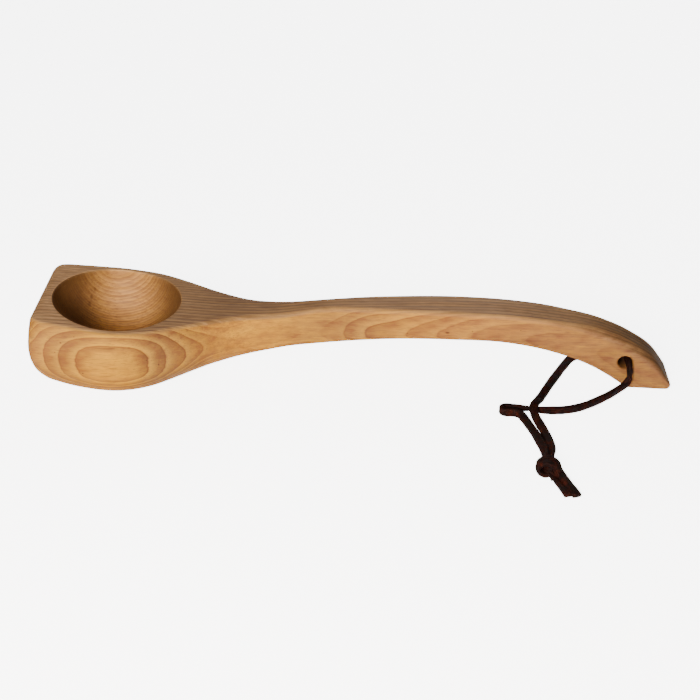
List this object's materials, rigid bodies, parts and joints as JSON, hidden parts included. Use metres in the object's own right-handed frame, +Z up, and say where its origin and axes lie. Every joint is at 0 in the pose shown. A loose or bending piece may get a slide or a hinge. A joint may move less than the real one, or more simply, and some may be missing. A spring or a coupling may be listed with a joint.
{
  "type": "wooden ladle",
  "caption": "One-piece carved wooden ladle with a round bowl, an arched handle and a knotted leather hanging lace; holds and pours water.",
  "frame": {"origin": "on the table, under the middle of the ladle's box", "axes": "+X from the head's end to the handle's tip, +Y across to the left of someone looking along +X, +Z up"},
  "size_m": [0.4, 0.1811, 0.0569],
  "materials": {
    "wood": "oiled, satin",
    "leather": "matt, rough suede side"
  },
  "bodies": {
    "root": {"wooden_ladle": "wood", "lace_near_leg": "leather", "lace_far_leg": "leather", "lace_knot": "leather", "lace_left_tail": "leather", "lace_right_tail": "leather"}
  },
  "joints": []
}
